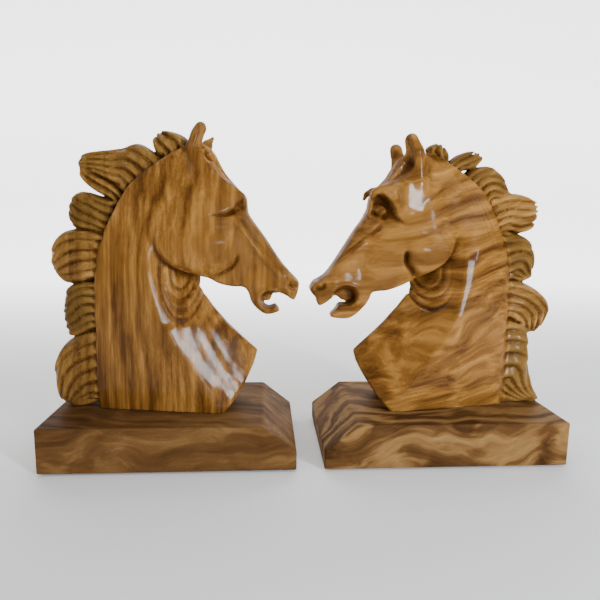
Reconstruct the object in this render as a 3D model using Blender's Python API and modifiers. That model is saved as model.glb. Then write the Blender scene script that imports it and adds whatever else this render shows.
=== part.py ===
"""A pair of carved wooden horse head book ends, standing face to face.

Each book end is a chamfered wooden block with a horse's head, neck and mane carved from one piece of wood
standing on it. Two screws come up through the block into the carving, and four felt pads lie under the block.
World frame: x runs from the left book end to the right one, z is up, the origin is on the table midway between
them. Block sizes are in metres. The carving's outlines are in millimetres in a frame of their own: x forward,
the way that the horse looks, from above the middle of its block, and z up from the table.
"""
import math

import bmesh
import bpy
import numpy as np
import openvdb
from mathutils import Matrix, Vector

MM = 0.001
GAP = 0.0003

# Driving dimensions
BASE_LENGTH = 0.180
BASE_DEPTH = 0.104
BASE_TOP = 0.034
BASE_SPACING = 0.200
CHAMFER_RUN = 0.024
CHAMFER_DROP = 0.019
EDGE_ROUND = 0.0012

PAD_RADIUS = 0.010
PAD_THICK = 0.001
PAD_INSET = 0.018

SCREW_X = (-0.036, 0.002)
SCREW_HEAD_RADIUS = 0.0042
SCREW_HEAD_HIGH = 0.0026
SCREW_SHANK_RADIUS = 0.0020
SCREW_LENGTH = 0.045
SCREW_SLOT_WIDE = 0.0010
SCREW_SLOT_DEEP = 0.0012
COUNTERBORE_RADIUS = 0.0055
COUNTERBORE_DEEP = 0.012

# The carving
GRID_STEP = 2.0
CARVING_FACES = 3800
MANE_SQUEEZE = 0.965
GRID_LOW = (-98.0, -38.0, 28.0)
GRID_HIGH = (104.0, 38.0, 254.0)

# Neck: back line where the mane grows, chest and undercut that meet at the prow, ridge down the side
MANE_ROOT = [(-58, 30), (-59, 60), (-58.5, 100), (-58, 133), (-54, 155), (-48, 170), (-38, 189),
             (-31, 200), (-17, 211), (-4, 220), (8, 229)]
NAPE_TO_THROAT = [(22, 226), (34, 205), (36, 180), (26, 158)]
CHEST = [(17, 127), (27, 112), (38, 98.5), (50, 87), (61.5, 77)]
UNDERCUT = [(58.5, 67), (52, 54), (44.5, 42.5), (36, 33), (34, 30)]
RIDGE = [(38, 33), (62, 19.5), (88, 1), (104, -6), (121, -12), (138, -16), (160, -16), (185, -10), (235, 0)]
WIDEST = [(34, 27.0), (110, 26.5), (150, 25.5), (180, 21.5), (230, 12.5)]
PROW = [(33, 109), (77, 62.5), (87, 51), (98.5, 39), (112, 28), (127, 18), (140, 13), (150, 14), (175, 45)]
MANE_ROOT_HALF = 12.5

# Head: outlines from the poll over the forehead, nose, lips and jaw, and (x, z, half thickness) over its side
LEFT_HEAD = [(-26, 198), (-24, 206), (-14, 213), (-2, 221), (10, 228.5), (19, 230.5), (27, 227), (32, 218.5),
             (35.3, 212.3), (40.4, 206), (46.6, 199.2), (51.5, 194.5), (52.5, 187), (53.5, 181.5), (59.1, 173.5),
             (66.5, 163.5), (77.1, 147.8), (84.6, 139), (90, 133.5), (91, 129.5), (89.8, 124.5), (87.2, 118.3),
             (81, 122), (75, 124.2), (71.6, 121.5), (72.4, 116.2), (76.3, 111.2), (75.4, 108.8), (67, 107),
             (60.2, 110.7), (55.2, 117), (53.2, 123.6), (49.5, 127.8), (42, 128.2), (33, 130), (23.9, 134.2),
             (13.3, 137.6), (2, 141.5), (-7, 148), (-13.5, 157.5), (-16.5, 170), (-20, 185)]
RIGHT_HEAD = [(-26, 198), (-24, 206), (-14, 213), (-2, 221), (10, 228), (19, 229), (26, 225), (31.5, 217.5),
              (35.5, 210.5), (41.5, 204.3), (47.7, 198.3), (53, 192.5), (54.5, 186), (56, 178.5), (60.8, 170),
              (68.9, 156.4), (79.4, 140.3), (85.8, 134.3), (91.5, 131.5), (93.6, 127.5), (92.4, 123.5),
              (88.7, 119.2), (86.6, 113.6), (81.2, 115.8), (76, 119.8), (71.6, 118.2), (71.8, 112.5), (77, 106.6),
              (75.5, 104), (62.5, 103.8), (52.3, 112.3), (47.6, 119.6), (46.4, 123.4), (42, 125), (34.7, 125.8),
              (23.6, 130.3), (14, 136), (3, 141), (-6, 148), (-11.5, 157.5), (-15, 170), (-20, 185)]
STATIONS = [(-24, 205, 11), (-16, 190, 16.5), (-15, 172, 21.5), (-6, 152, 24.5), (-2, 168, 25), (-4, 188, 21),
            (2, 212, 16.5), (10, 228, 13), (8, 195, 21.5), (8, 172, 25.5), (8, 146, 23), (24, 216, 14),
            (24, 196, 20), (24, 172, 23), (24, 150, 22), (24, 136, 17), (38, 204, 17), (36, 186, 20.5),
            (40, 168, 18.5), (40, 150, 17), (42, 133, 13.5), (52, 186, 15), (54, 170, 14), (52, 152, 14.5),
            (54, 136, 13), (66, 156, 12), (66, 142, 13), (68, 128, 12.5), (80, 140, 11), (82, 131, 12.5),
            (90, 131, 11), (86, 122, 9), (54, 120, 10), (62, 112, 9.5), (74, 110, 7)]
STATION_SOFTNESS = 9.0
MOUTH_DEEP = 8.0

# Each lock of the mane: upper edge and lower edge from root to tip, and half thickness at root and tip
LEFT_MANE = [
    dict(up=[(6, 226), (11, 234), (4, 239), (-6, 241), (-12.5, 239.5)],
         low=[(-4, 217), (-9, 221), (-14.5, 226), (-16, 233), (-12.5, 239.5)], half=(10, 9)),
    dict(up=[(0, 214), (-12, 224), (-22, 230.5), (-28, 231), (-36, 227.5), (-50, 225.5), (-61, 223.5), (-66.5, 217)],
         low=[(-36, 184), (-42, 192), (-49, 197), (-58, 200), (-64, 205.5), (-66.5, 217)], half=(10, 9)),
    dict(up=[(-38, 192), (-52, 194), (-61, 196), (-68, 197.5), (-74, 193.5), (-77, 186)],
         low=[(-46, 164), (-60, 167.5), (-70, 168.5), (-76, 172), (-77, 186)], half=(10, 8)),
    dict(up=[(-46, 166), (-64, 169), (-76, 169), (-84, 166), (-90, 158), (-93, 147)],
         low=[(-48, 134), (-62, 132), (-72, 129), (-82, 129.5), (-88, 133), (-93, 147)], half=(10, 9)),
    dict(up=[(-50, 134), (-64, 131), (-76, 128.5), (-82, 125), (-85, 118), (-85.5, 104)],
         low=[(-48, 94), (-62, 93), (-72, 90), (-82, 88.5), (-84, 94), (-85.5, 104)], half=(9, 8)),
    dict(up=[(-46, 95), (-60, 95), (-72, 91), (-84, 84), (-91, 74), (-94.5, 60)],
         low=[(-48, 34), (-60, 36), (-72, 33.5), (-84, 33.5), (-92, 41), (-94.5, 60)], half=(10, 9)),
]
RIGHT_MANE = [
    dict(up=[(4, 226), (13, 232), (7, 236.5), (0, 237)],
         low=[(-4, 217), (-6, 223), (-4.5, 231), (0, 237)], half=(9, 8)),
    dict(up=[(0, 216), (-8, 226), (-18, 231), (-29, 231.5)],
         low=[(-8, 210), (-16, 216), (-27, 219.5), (-33, 225.5), (-29, 231.5)], half=(9, 8)),
    dict(up=[(-12, 208), (-22, 217.5), (-34, 220.5), (-44, 217.5), (-51, 209), (-56, 200)],
         low=[(-34, 184), (-42, 190), (-50, 193), (-56, 200)], half=(10, 9)),
    dict(up=[(-34, 192), (-46, 199), (-58, 201), (-70, 199), (-78, 195), (-80.5, 187)],
         low=[(-44, 168), (-56, 172), (-66, 169.5), (-76, 174), (-80.5, 187)], half=(10, 9)),
    dict(up=[(-44, 172), (-58, 171), (-70, 167.5), (-77.5, 159), (-79.5, 147)],
         low=[(-48, 132), (-60, 134), (-72, 131.5), (-79.5, 135.5), (-79.5, 147)], half=(9, 8)),
    dict(up=[(-48, 134), (-62, 134), (-76, 130), (-88, 123), (-94.5, 114)],
         low=[(-48, 104), (-60, 104), (-68, 97), (-76, 90.5), (-86, 92), (-92, 102), (-94.5, 114)], half=(10, 9)),
    dict(up=[(-48, 106), (-62, 103), (-76, 96), (-79.5, 84), (-80.5, 68), (-84, 53), (-93, 37)],
         low=[(-48, 33), (-62, 33.5), (-76, 33), (-93, 33)], half=(9.5, 9)),
]

# What differs between the two horses: reach moves the head forward, turn swings the nose to the front, chest moves
# the prow forward, mouth is (x, z, radius along x, radius along z) and each ear runs through points in x, y, z
LEFT_HORSE = dict(head=LEFT_HEAD, mane=LEFT_MANE, reach=1.5, turn=0.10, chest=0.0, mouth=(68.3, 118.6, 6.2, 6.8),
                  ears=[[(15, -12, 212), (17.6, -13, 230), (21.3, -14, 243)],
                        [(17, 10, 212), (22, 12, 226), (25.2, 13, 236.2)]],
                  ear_radii=(7.0, 5.8, 3.8))
RIGHT_HORSE = dict(head=RIGHT_HEAD, mane=RIGHT_MANE, reach=5.5, turn=0.06, chest=2.0, mouth=(67.0, 121.3, 9.5, 7.6),
                   ears=[[(19, -12, 211), (22.8, -13, 227), (27.4, -14, 238)],
                         [(24, 10, 211), (26, 12, 224), (31, 13, 234.6)]],
                   ear_radii=(8.0, 6.4, 3.9))

PAIR = (("left", -1, LEFT_HORSE), ("right", 1, RIGHT_HORSE))


# ---------------------------------------------------------------- scene
def clear_scene():
    for item in list(bpy.data.objects):
        bpy.data.objects.remove(item)


def new_collection(name):
    collection = bpy.data.collections.new(name)
    bpy.context.scene.collection.children.link(collection)
    return collection


def make_material(name, color, roughness, metallic):
    material = bpy.data.materials.new(name)
    material.use_nodes = True
    shader = material.node_tree.nodes["Principled BSDF"]
    shader.inputs["Base Color"].default_value = (*color, 1.0)
    shader.inputs["Roughness"].default_value = roughness
    shader.inputs["Metallic"].default_value = metallic
    return material


def add_object(name, mesh, collection, material=None):
    thing = bpy.data.objects.new(name, mesh)
    collection.objects.link(thing)
    if material is not None:
        mesh.materials.append(material)
    return thing


def mesh_from(bm, name):
    mesh = bpy.data.meshes.new(name)
    bm.to_mesh(mesh)
    bm.free()
    return mesh


def cylinder(name, radius, low, high, x, y, segments=24):
    """Upright cylinder from z = low to z = high."""
    bm = bmesh.new()
    place = Matrix.Translation((x, y, (low + high) / 2))
    bmesh.ops.create_cone(bm, cap_ends=True, segments=segments, radius1=radius, radius2=radius,
                          depth=high - low, matrix=place)
    return mesh_from(bm, name)


def add_cutter(name, mesh, cutters):
    cutter = add_object(name, mesh, cutters)
    cutter.hide_render = True
    cutter.display_type = "WIRE"
    return cutter


def cut(thing, cutter):
    modifier = thing.modifiers.new("cut " + cutter.name, "BOOLEAN")
    modifier.operation = "DIFFERENCE"
    modifier.solver = "EXACT"
    modifier.object = cutter


# ---------------------------------------------------------------- carving: distances in the side view
def smooth_max(a, b, width):
    blend = np.clip(0.5 + 0.5 * (a - b) / width, 0.0, 1.0)
    return a * blend + b * (1.0 - blend) + width * blend * (1.0 - blend)


def smooth_min(a, b, width):
    return -smooth_max(-a, -b, width)


def smooth_curve(points, steps=4, closed=False):
    """Points along a smooth curve through the given points."""
    p = np.array(points, float)
    if closed:
        p = np.vstack([p[-1], p, p[:2]])
    else:
        p = np.vstack([2 * p[0] - p[1], p, 2 * p[-1] - p[-2]])
    out = []
    for a, b, c, d in zip(p[:-3], p[1:-2], p[2:-1], p[3:]):
        for t in np.arange(steps) / steps:
            bend = (2 * a - 5 * b + 4 * c - d) * t * t + (3 * b - a - 3 * c + d) * t ** 3
            out.append(0.5 * (2 * b + (c - a) * t + bend))
    if not closed:
        out.append(p[-2])
    return np.array(out)


def line_distance(x, z, points):
    """Distance to a line through the points, and how far along it the nearest place is, from 0 to 1."""
    nearest = np.full(x.shape, np.inf)
    along = np.zeros(x.shape)
    lengths = np.hypot(*np.diff(points, axis=0).T)
    start = 0.0
    for a, b, length in zip(points[:-1], points[1:], lengths):
        step = b - a
        t = np.clip(((x - a[0]) * step[0] + (z - a[1]) * step[1]) / length ** 2, 0.0, 1.0)
        distance = np.hypot(x - a[0] - t * step[0], z - a[1] - t * step[1])
        closer = distance < nearest
        nearest = np.where(closer, distance, nearest)
        along = np.where(closer, (start + t * length) / lengths.sum(), along)
        start += length
    return nearest, along


def outline_distance(x, z, points):
    """Distance to a closed outline, negative inside it."""
    loop = np.vstack([points, points[:1]])
    inside = np.zeros(x.shape, bool)
    for a, b in zip(loop[:-1], loop[1:]):
        if a[1] != b[1]:
            crosses = (a[1] > z) != (b[1] > z)
            inside ^= crosses & (x < (b[0] - a[0]) * (z - a[1]) / (b[1] - a[1]) + a[0])
    distance = line_distance(x, z, loop)[0]
    return np.where(inside, -distance, distance)


def table(z, pairs):
    """Value at each height, read between (height, value) pairs."""
    heights, values = zip(*pairs)
    return np.interp(z, heights, values)


# ---------------------------------------------------------------- carving: its parts, as outline and half thickness
def neck_shape(x, z, chest):
    prow_x, prow_z = CHEST[-1]
    foot_z = UNDERCUT[-1][1]
    front = [(a + chest, b) for a, b in CHEST]
    below = [(a + chest * (b - foot_z) / (prow_z - foot_z), b) for a, b in UNDERCUT]
    outline = np.array([*MANE_ROOT, *NAPE_TO_THROAT, *front, *below], float)
    ridge = table(z, RIDGE)
    widest = table(z, WIDEST)
    prow = table(z, PROW)
    root_x = MANE_ROOT[0][0]
    behind = MANE_ROOT_HALF + (widest - MANE_ROOT_HALF) * np.clip((x - root_x) / (ridge - root_x), 0.0, 1.0)
    before = widest * (prow - x) / np.maximum(prow - ridge, 5.0)
    return outline_distance(x, z, outline), smooth_min(behind, before, 3.0)


def through_stations(x, z):
    """Smooth surface through the stations' half thicknesses."""
    points = np.array(STATIONS, float)
    count = len(points)

    def cone(step_x, step_z):
        return np.sqrt(step_x ** 2 + step_z ** 2 + STATION_SOFTNESS ** 2)

    equations = np.zeros((count + 1, count + 1))
    between = points[:, None, :] - points[None, :, :]
    equations[:count, :count] = cone(between[..., 0], between[..., 1]) - 3.0 * np.eye(count)
    equations[:count, count] = 1.0
    equations[count, :count] = 1.0
    weights = np.linalg.solve(equations, np.append(points[:, 2], 0.0))
    height = np.full(x.shape, weights[count])
    for (station_x, station_z, _), weight in zip(points, weights):
        height = height + weight * cone(x - station_x, z - station_z)
    return height


def head_shape(x, z, horse):
    mouth_x, mouth_z, radius_x, radius_z = horse["mouth"]
    out = np.hypot((x - mouth_x) / radius_x, (z - mouth_z) / radius_z)
    half = through_stations(x, z) - MOUTH_DEEP * np.clip(3.0 * (1.05 - out), 0.0, 1.0)
    return outline_distance(x, z, smooth_curve(horse["head"], closed=True)), half


def lock_edge(points):
    """Smooth edge of a lock, with what stands behind the mane's root drawn in a little."""
    root_x = MANE_ROOT[0][0]
    drawn = [(x if x > root_x else root_x + (x - root_x) * MANE_SQUEEZE, z) for x, z in points]
    return smooth_curve(drawn)


def lock_shape(x, z, up, low, half):
    upper = lock_edge(up)
    lower = lock_edge(low)
    outside = outline_distance(x, z, np.vstack([upper, lower[::-1][1:]]))
    along = 0.5 * (line_distance(x, z, upper)[1] + line_distance(x, z, lower)[1])
    crown = np.sqrt(1.0 - (1.0 - np.clip(-outside / 10.0, 0.0, 1.0)) ** 2)
    height = half[0] + (half[1] - half[0]) * along + 2.0 * np.sin(np.pi * along)
    return outside, height * (0.55 + 0.45 * crown) - 1.0


def ear_distance(x, y, z, points, radii):
    """Distance to an ear that follows the points and tapers."""
    nearest = np.inf
    for start, end, radius, end_radius in zip(points[:-1], points[1:], radii[:-1], radii[1:]):
        step = np.array(end, float) - start
        off = [value - start[i] for i, value in enumerate((x, y, z))]
        t = np.clip((off[0] * step[0] + off[1] * step[1] + off[2] * step[2]) / (step @ step), 0.0, 1.0)
        away = np.sqrt(sum((off[i] - t * step[i]) ** 2 for i in range(3)))
        nearest = np.minimum(nearest, away - radius - (end_radius - radius) * t)
    return nearest


def carving_volume(horse):
    """Signed distance to the whole carving on a grid, and the grid's lowest corner."""
    low = np.array(GRID_LOW)
    count = np.ceil((np.array(GRID_HIGH) - low) / GRID_STEP).astype(int)
    axis_x, axis_y, axis_z = (low[i] + GRID_STEP * np.arange(count[i]) for i in range(3))
    x, z = np.meshgrid(axis_x, axis_z, indexing="ij")
    y = axis_y[None, :, None]

    def slab(shape, centre, round_over):
        outside, half = shape
        side = np.abs(y - centre[:, None, :]) - half[:, None, :]
        return smooth_max(outside[:, None, :] + 0.0 * y, side, round_over)

    upright = np.zeros(x.shape)
    volume = slab(neck_shape(x, z, horse["chest"]), upright, 1.6)
    for lock in horse["mane"]:
        volume = np.minimum(volume, slab(lock_shape(x, z, **lock), upright, 4.0))
    swing = -np.clip(x - 5.0, 0.0, None) * horse["turn"]
    volume = smooth_min(volume, slab(head_shape(x - horse["reach"], z, horse), swing, 6.0), 2.5)
    for points in horse["ears"]:
        ear = ear_distance(axis_x[:, None, None], y, axis_z[None, None, :], points, horse["ear_radii"])
        volume = smooth_min(volume, ear, 2.5)
    flat_foot = (BASE_TOP + GAP) / MM - axis_z
    return np.maximum(volume, flat_foot[None, None, :]), low


def carving_mesh(name, horse, side):
    """Mesh of the carving in world metres; the right hand horse (side 1) is turned to look at the left one."""
    volume, low = carving_volume(horse)
    grid = openvdb.FloatGrid(background=2 * GRID_STEP)
    grid.copyFromArray(np.ascontiguousarray(volume, dtype=np.float32))
    points, quads = grid.convertToQuads(isovalue=0.0)
    points = (points * GRID_STEP + low) * MM
    facing = -side
    points[:, 0] = side * BASE_SPACING / 2 + facing * points[:, 0]
    bm = bmesh.new()
    corners = [bm.verts.new(Vector(point)) for point in points.tolist()]
    for quad in quads.tolist():
        bm.faces.new([corners[i] for i in quad])
    bmesh.ops.recalc_face_normals(bm, faces=bm.faces)
    bmesh.ops.triangulate(bm, faces=bm.faces)
    return mesh_from(bm, name)


# ---------------------------------------------------------------- pieces
def make_base(name, side, parts, cutters, material):
    """Block with a long chamfer across the top of the end that faces the other book end."""
    low = PAD_THICK + GAP
    bm = bmesh.new()
    centre = Vector((side * BASE_SPACING / 2, 0, (low + BASE_TOP) / 2))
    bmesh.ops.create_cube(bm, size=1.0)
    bmesh.ops.scale(bm, vec=(BASE_LENGTH, BASE_DEPTH, BASE_TOP - low), verts=bm.verts)
    bmesh.ops.translate(bm, vec=centre, verts=bm.verts)
    inner_end = side * (BASE_SPACING - BASE_LENGTH) / 2
    on_top = Vector((inner_end + side * CHAMFER_RUN, 0, BASE_TOP))
    slope = Vector((-side * CHAMFER_DROP, 0, CHAMFER_RUN))
    everything = bm.verts[:] + bm.edges[:] + bm.faces[:]
    bmesh.ops.bisect_plane(bm, geom=everything, plane_co=on_top, plane_no=slope, clear_outer=True)
    bmesh.ops.holes_fill(bm, edges=bm.edges)
    bmesh.ops.recalc_face_normals(bm, faces=bm.faces)
    base = add_object(name, mesh_from(bm, name), parts, material)
    soften = base.modifiers.new("soft edges", "BEVEL")
    soften.width = EDGE_ROUND
    soften.segments = 2
    for number, screw_x in enumerate(SCREW_X, 1):
        x = side * (BASE_SPACING / 2 - screw_x)
        bore = cylinder("bore", COUNTERBORE_RADIUS, 0.0, low + COUNTERBORE_DEEP, x, 0.0)
        cut(base, add_cutter(f"{name}_counterbore_{number}", bore, cutters))
        hole = cylinder("hole", SCREW_SHANK_RADIUS + GAP, 0.0, BASE_TOP + 0.01, x, 0.0)
        cut(base, add_cutter(f"{name}_screw_hole_{number}", hole, cutters))
    return base


def make_carving(name, side, horse, parts, cutters, material):
    """Head, neck and mane, with a pilot hole up from its foot for each screw."""
    carving = add_object(name, carving_mesh(name, horse, side), parts, material)
    thin_out = carving.modifiers.new("fewer faces", "DECIMATE")
    thin_out.ratio = CARVING_FACES / len(carving.data.polygons)
    for number, screw_x in enumerate(SCREW_X, 1):
        x = side * (BASE_SPACING / 2 - screw_x)
        top = PAD_THICK + COUNTERBORE_DEEP + SCREW_LENGTH + 2 * GAP
        pilot = cylinder("pilot", SCREW_SHANK_RADIUS + GAP, BASE_TOP - 0.005, top, x, 0.0, segments=16)
        cut(carving, add_cutter(f"{name}_pilot_hole_{number}", pilot, cutters))
    return carving


def make_screw(name, x, parts, cutters, material):
    """Countersunk screw turned from its profile, head down, with a driver slot."""
    head_low = PAD_THICK + GAP + COUNTERBORE_DEEP - SCREW_HEAD_HIGH - 2 * GAP
    top = head_low + SCREW_LENGTH
    shoulder = head_low + SCREW_HEAD_HIGH
    profile = [(0.0, top), (SCREW_SHANK_RADIUS * 0.75, top - 0.006), (SCREW_SHANK_RADIUS, top - 0.010),
               (SCREW_SHANK_RADIUS, shoulder), (SCREW_HEAD_RADIUS, shoulder - 0.0004),
               (SCREW_HEAD_RADIUS, head_low), (0.0, head_low)]
    bm = bmesh.new()
    verts = [bm.verts.new((radius, 0, z)) for radius, z in profile]
    for a, b in zip(verts[:-1], verts[1:]):
        bm.edges.new((a, b))
    screw = add_object(name, mesh_from(bm, name), parts, material)
    screw.location.x = x
    turn = screw.modifiers.new("turn", "SCREW")
    turn.axis = "Z"
    turn.steps = 24
    turn.render_steps = 24
    turn.use_merge_vertices = True
    turn.merge_threshold = 0.00001
    bm = bmesh.new()
    place = Matrix.Translation((x, 0, head_low))
    bmesh.ops.create_cube(bm, size=1.0)
    bmesh.ops.scale(bm, vec=(3 * SCREW_HEAD_RADIUS, SCREW_SLOT_WIDE, 2 * SCREW_SLOT_DEEP), verts=bm.verts)
    bmesh.ops.transform(bm, matrix=place, verts=bm.verts)
    cut(screw, add_cutter(name + "_slot", mesh_from(bm, name + "_slot"), cutters))
    return screw


def make_pad(name, x, y, parts, material):
    return add_object(name, cylinder(name, PAD_RADIUS, 0.0, PAD_THICK, x, y, segments=32), parts, material)


def make_book_end(word, side, horse, parts, cutters, materials):
    holder = bpy.data.objects.new(word + "_book_end", None)
    parts.objects.link(holder)
    middle = side * BASE_SPACING / 2
    pieces = [make_base(word + "_base", side, parts, cutters, materials["base"])]
    pieces.append(make_carving(word + "_horse", side, horse, parts, cutters, materials["horse"]))
    for number, screw_x in enumerate(SCREW_X, 1):
        pieces.append(make_screw(f"{word}_screw_{number}", middle - side * screw_x, parts, cutters,
                                 materials["steel"]))
    number = 0
    for end in (-1, 1):
        for edge in (-1, 1):
            number += 1
            x = middle + end * (BASE_LENGTH / 2 - PAD_INSET)
            y = edge * (BASE_DEPTH / 2 - PAD_INSET)
            pieces.append(make_pad(f"{word}_felt_pad_{number}", x, y, parts, materials["felt"]))
    for piece in pieces:
        piece.parent = holder


def main():
    clear_scene()
    parts = new_collection("horse_head_book_ends")
    cutters = new_collection("cutters")
    materials = {
        "base": make_material("base_wood", (0.20, 0.09, 0.03), 0.25, 0.0),
        "horse": make_material("carved_wood", (0.38, 0.19, 0.06), 0.22, 0.0),
        "steel": make_material("screw_steel", (0.55, 0.55, 0.56), 0.35, 1.0),
        "felt": make_material("felt", (0.03, 0.06, 0.03), 0.95, 0.0),
    }
    for word, side, horse in PAIR:
        make_book_end(word, side, horse, parts, cutters, materials)
    bpy.context.view_layer.update()


main()
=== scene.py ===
"""Looks of the horse head book ends: finely carved horses, lacquered wood, felt, steel, light and camera.

The carvings are worked out in millimetres in a frame of their own, as in the part: x forward, the way that
the horse looks, from above the middle of its block, z up from the table, and the near side at negative y.
Each is a signed distance field on a grid: neck, head and mane are slabs whose outline and half thickness
are drawn over the side view, and the ears are chains of round cones.
"""
import math

import bmesh
import bpy
import numpy as np
import openvdb
from mathutils import Matrix, Vector


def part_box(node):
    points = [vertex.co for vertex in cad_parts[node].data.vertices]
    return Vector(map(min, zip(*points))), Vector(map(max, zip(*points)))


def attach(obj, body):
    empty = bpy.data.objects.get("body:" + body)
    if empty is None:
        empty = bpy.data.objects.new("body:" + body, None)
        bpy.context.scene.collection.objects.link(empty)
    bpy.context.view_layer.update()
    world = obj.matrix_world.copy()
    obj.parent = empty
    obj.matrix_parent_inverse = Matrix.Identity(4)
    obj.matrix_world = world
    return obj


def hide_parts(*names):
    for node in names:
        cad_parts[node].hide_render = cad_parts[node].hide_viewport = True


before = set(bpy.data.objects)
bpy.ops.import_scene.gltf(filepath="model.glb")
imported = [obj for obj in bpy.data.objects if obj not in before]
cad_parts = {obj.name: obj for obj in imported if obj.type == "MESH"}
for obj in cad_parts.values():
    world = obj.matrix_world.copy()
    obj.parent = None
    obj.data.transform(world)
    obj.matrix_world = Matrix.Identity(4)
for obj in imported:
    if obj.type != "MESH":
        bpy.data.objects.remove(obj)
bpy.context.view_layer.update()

MM = 0.001

# ------------------------ grid that holds a carving, in millimetres
FINE_STEP = 0.85
GRID_LOW = (-98.0, -37.0)
GRID_HIGH = (102.0, 37.0, 252.0)
BELOW_FOOT = 5.0
EARS_ABOVE = 172.0
MOST_TRIANGLES = 190000

# ------------------------ neck, in the carving's frame
MANE_ROOT = [(-58, 30), (-59, 60), (-58.5, 100), (-58, 133), (-54, 155), (-48, 170), (-38, 189), (-31, 200),
             (-17, 211), (-4, 220), (8, 229)]
NAPE_TO_THROAT = [(22, 226), (34, 205), (36, 180), (26, 158)]
CHEST = [(17, 127), (27, 112), (38, 98.5), (50, 87), (61.5, 77)]
UNDERCUT = [(58.5, 67), (52, 54), (44.5, 42.5), (36, 33), (34, 30)]
# (height, x or half thickness)
LEFT_RIDGE = [(38, 33), (62, 19.5), (88, 1), (104, -6), (121, -12), (138, -16), (160, -16), (185, -10),
              (235, 0)]
RIGHT_RIDGE = [(38, 33), (62, 18), (88, -2), (109, -12.5), (130, -17), (158, -19.5), (185, -16), (235, 0)]
WIDEST = [(34, 27.0), (110, 26.5), (150, 25.5), (180, 21.5), (230, 12.5)]
PROW = [(33, 109), (70, 70), (87, 57), (98.5, 46), (112, 31), (127, 18), (140, 13), (150, 14), (175, 45)]
MANE_ROOT_HALF = 12.5
GOUGES_ACROSS = (0.90, 0.43)
GOUGE_WIDE = 8.5
FOLDS_TOP = 139

# ------------------------ head
LEFT_HEAD = [(-26, 198), (-24, 206), (-14, 213), (-2, 221), (10, 228.5), (19, 230.5), (27, 227),
             (32, 218.5), (35.3, 212.3), (40.4, 206), (46.6, 199.2), (51.5, 194.5), (52.5, 187),
             (53.5, 181.5), (59.1, 173.5), (66.5, 163.5), (77.1, 147.8), (84.6, 139), (90, 133.5),
             (91, 129.5), (89.8, 124.5), (87.2, 118.3), (81, 122), (75, 124.2), (71.6, 121.5),
             (72.4, 116.2), (76.3, 111.2), (75.4, 108.8), (67, 107), (60.2, 110.7), (55.2, 117),
             (53.2, 123.6), (49.5, 127.8), (42, 128.2), (33, 130), (23.9, 134.2), (13.3, 137.6), (2, 141.5),
             (-7, 148), (-13.5, 157.5), (-16.5, 170), (-20, 185)]
RIGHT_HEAD = [(-26, 198), (-24, 206), (-14, 213), (-2, 221), (10, 228), (19, 229), (26, 225), (31.5, 217.5),
              (35.5, 210.5), (41.5, 204.3), (46.8, 198.8), (49.6, 193), (50.6, 186.5), (54.5, 179),
              (60.8, 170), (68.9, 156.4), (79.4, 140.3), (85.8, 134.3), (91.5, 131.5), (93.6, 127.5),
              (92.4, 123.5), (88.7, 119.2), (86.6, 113.6), (81.2, 115.8), (76, 119.8), (71.6, 118.2),
              (71.8, 112.5), (77, 106.6), (75.5, 104), (62.5, 103.8), (52.3, 112.3), (47.6, 119.6),
              (46.4, 123.4), (42, 125), (34.7, 125.8), (23.6, 130.3), (14, 136), (3, 141), (-6, 148),
              (-11.5, 157.5), (-15, 170), (-20, 185)]
# (x, z, half thickness)
STATIONS = [(-24, 205, 11), (-16, 190, 16.5), (-15, 172, 21.5), (-6, 152, 24.5), (-2, 168, 25),
            (-4, 188, 21), (2, 212, 16.5), (10, 228, 13), (8, 195, 21.5), (8, 172, 25.5), (8, 146, 23),
            (24, 216, 14), (24, 196, 20), (24, 172, 23), (24, 150, 22), (24, 136, 17), (38, 204, 17),
            (36, 186, 20.5), (40, 168, 18.5), (40, 150, 17), (42, 133, 13.5), (52, 186, 15), (54, 170, 14),
            (52, 152, 14.5), (54, 136, 13), (66, 156, 12), (66, 142, 13), (68, 128, 12.5), (80, 140, 11),
            (82, 131, 12.5), (90, 131, 11), (86, 122, 9), (54, 120, 10), (62, 112, 9.5), (74, 110, 7)]
STATION_SOFTNESS = 9.0
MOUTH_DEEP = 9.0
NOSE_SLOPE = 0.7
NOSE_CREST = [(44, 177), (51, 168.5), (59, 157), (68, 146), (77, 136.5)]
UPPER_LIP = [(90, 124), (83, 126.6), (76, 130)]
LOWER_LIP = [(76, 111.2), (69, 112.6), (62, 113)]
NOSTRIL = [(83.5, 130.5), (84.5, 127.6), (88.5, 127.2)]
NOSTRIL_RIM = (86.5, 131.5)
CHEEK_HOLLOW = (56, 143)
FORELOCK_CRESTS = [([(20, 231), (28, 222), (34.5, 213), (38, 209), (41.5, 206)], 3.0),
                   ([(24, 224), (32, 213), (40, 205)], 1.8)]
TEMPLE_CUT_MIDDLE = (19, 197)
TEMPLE_CUT_BENDS = (0.0015, 0.0022)

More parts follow.
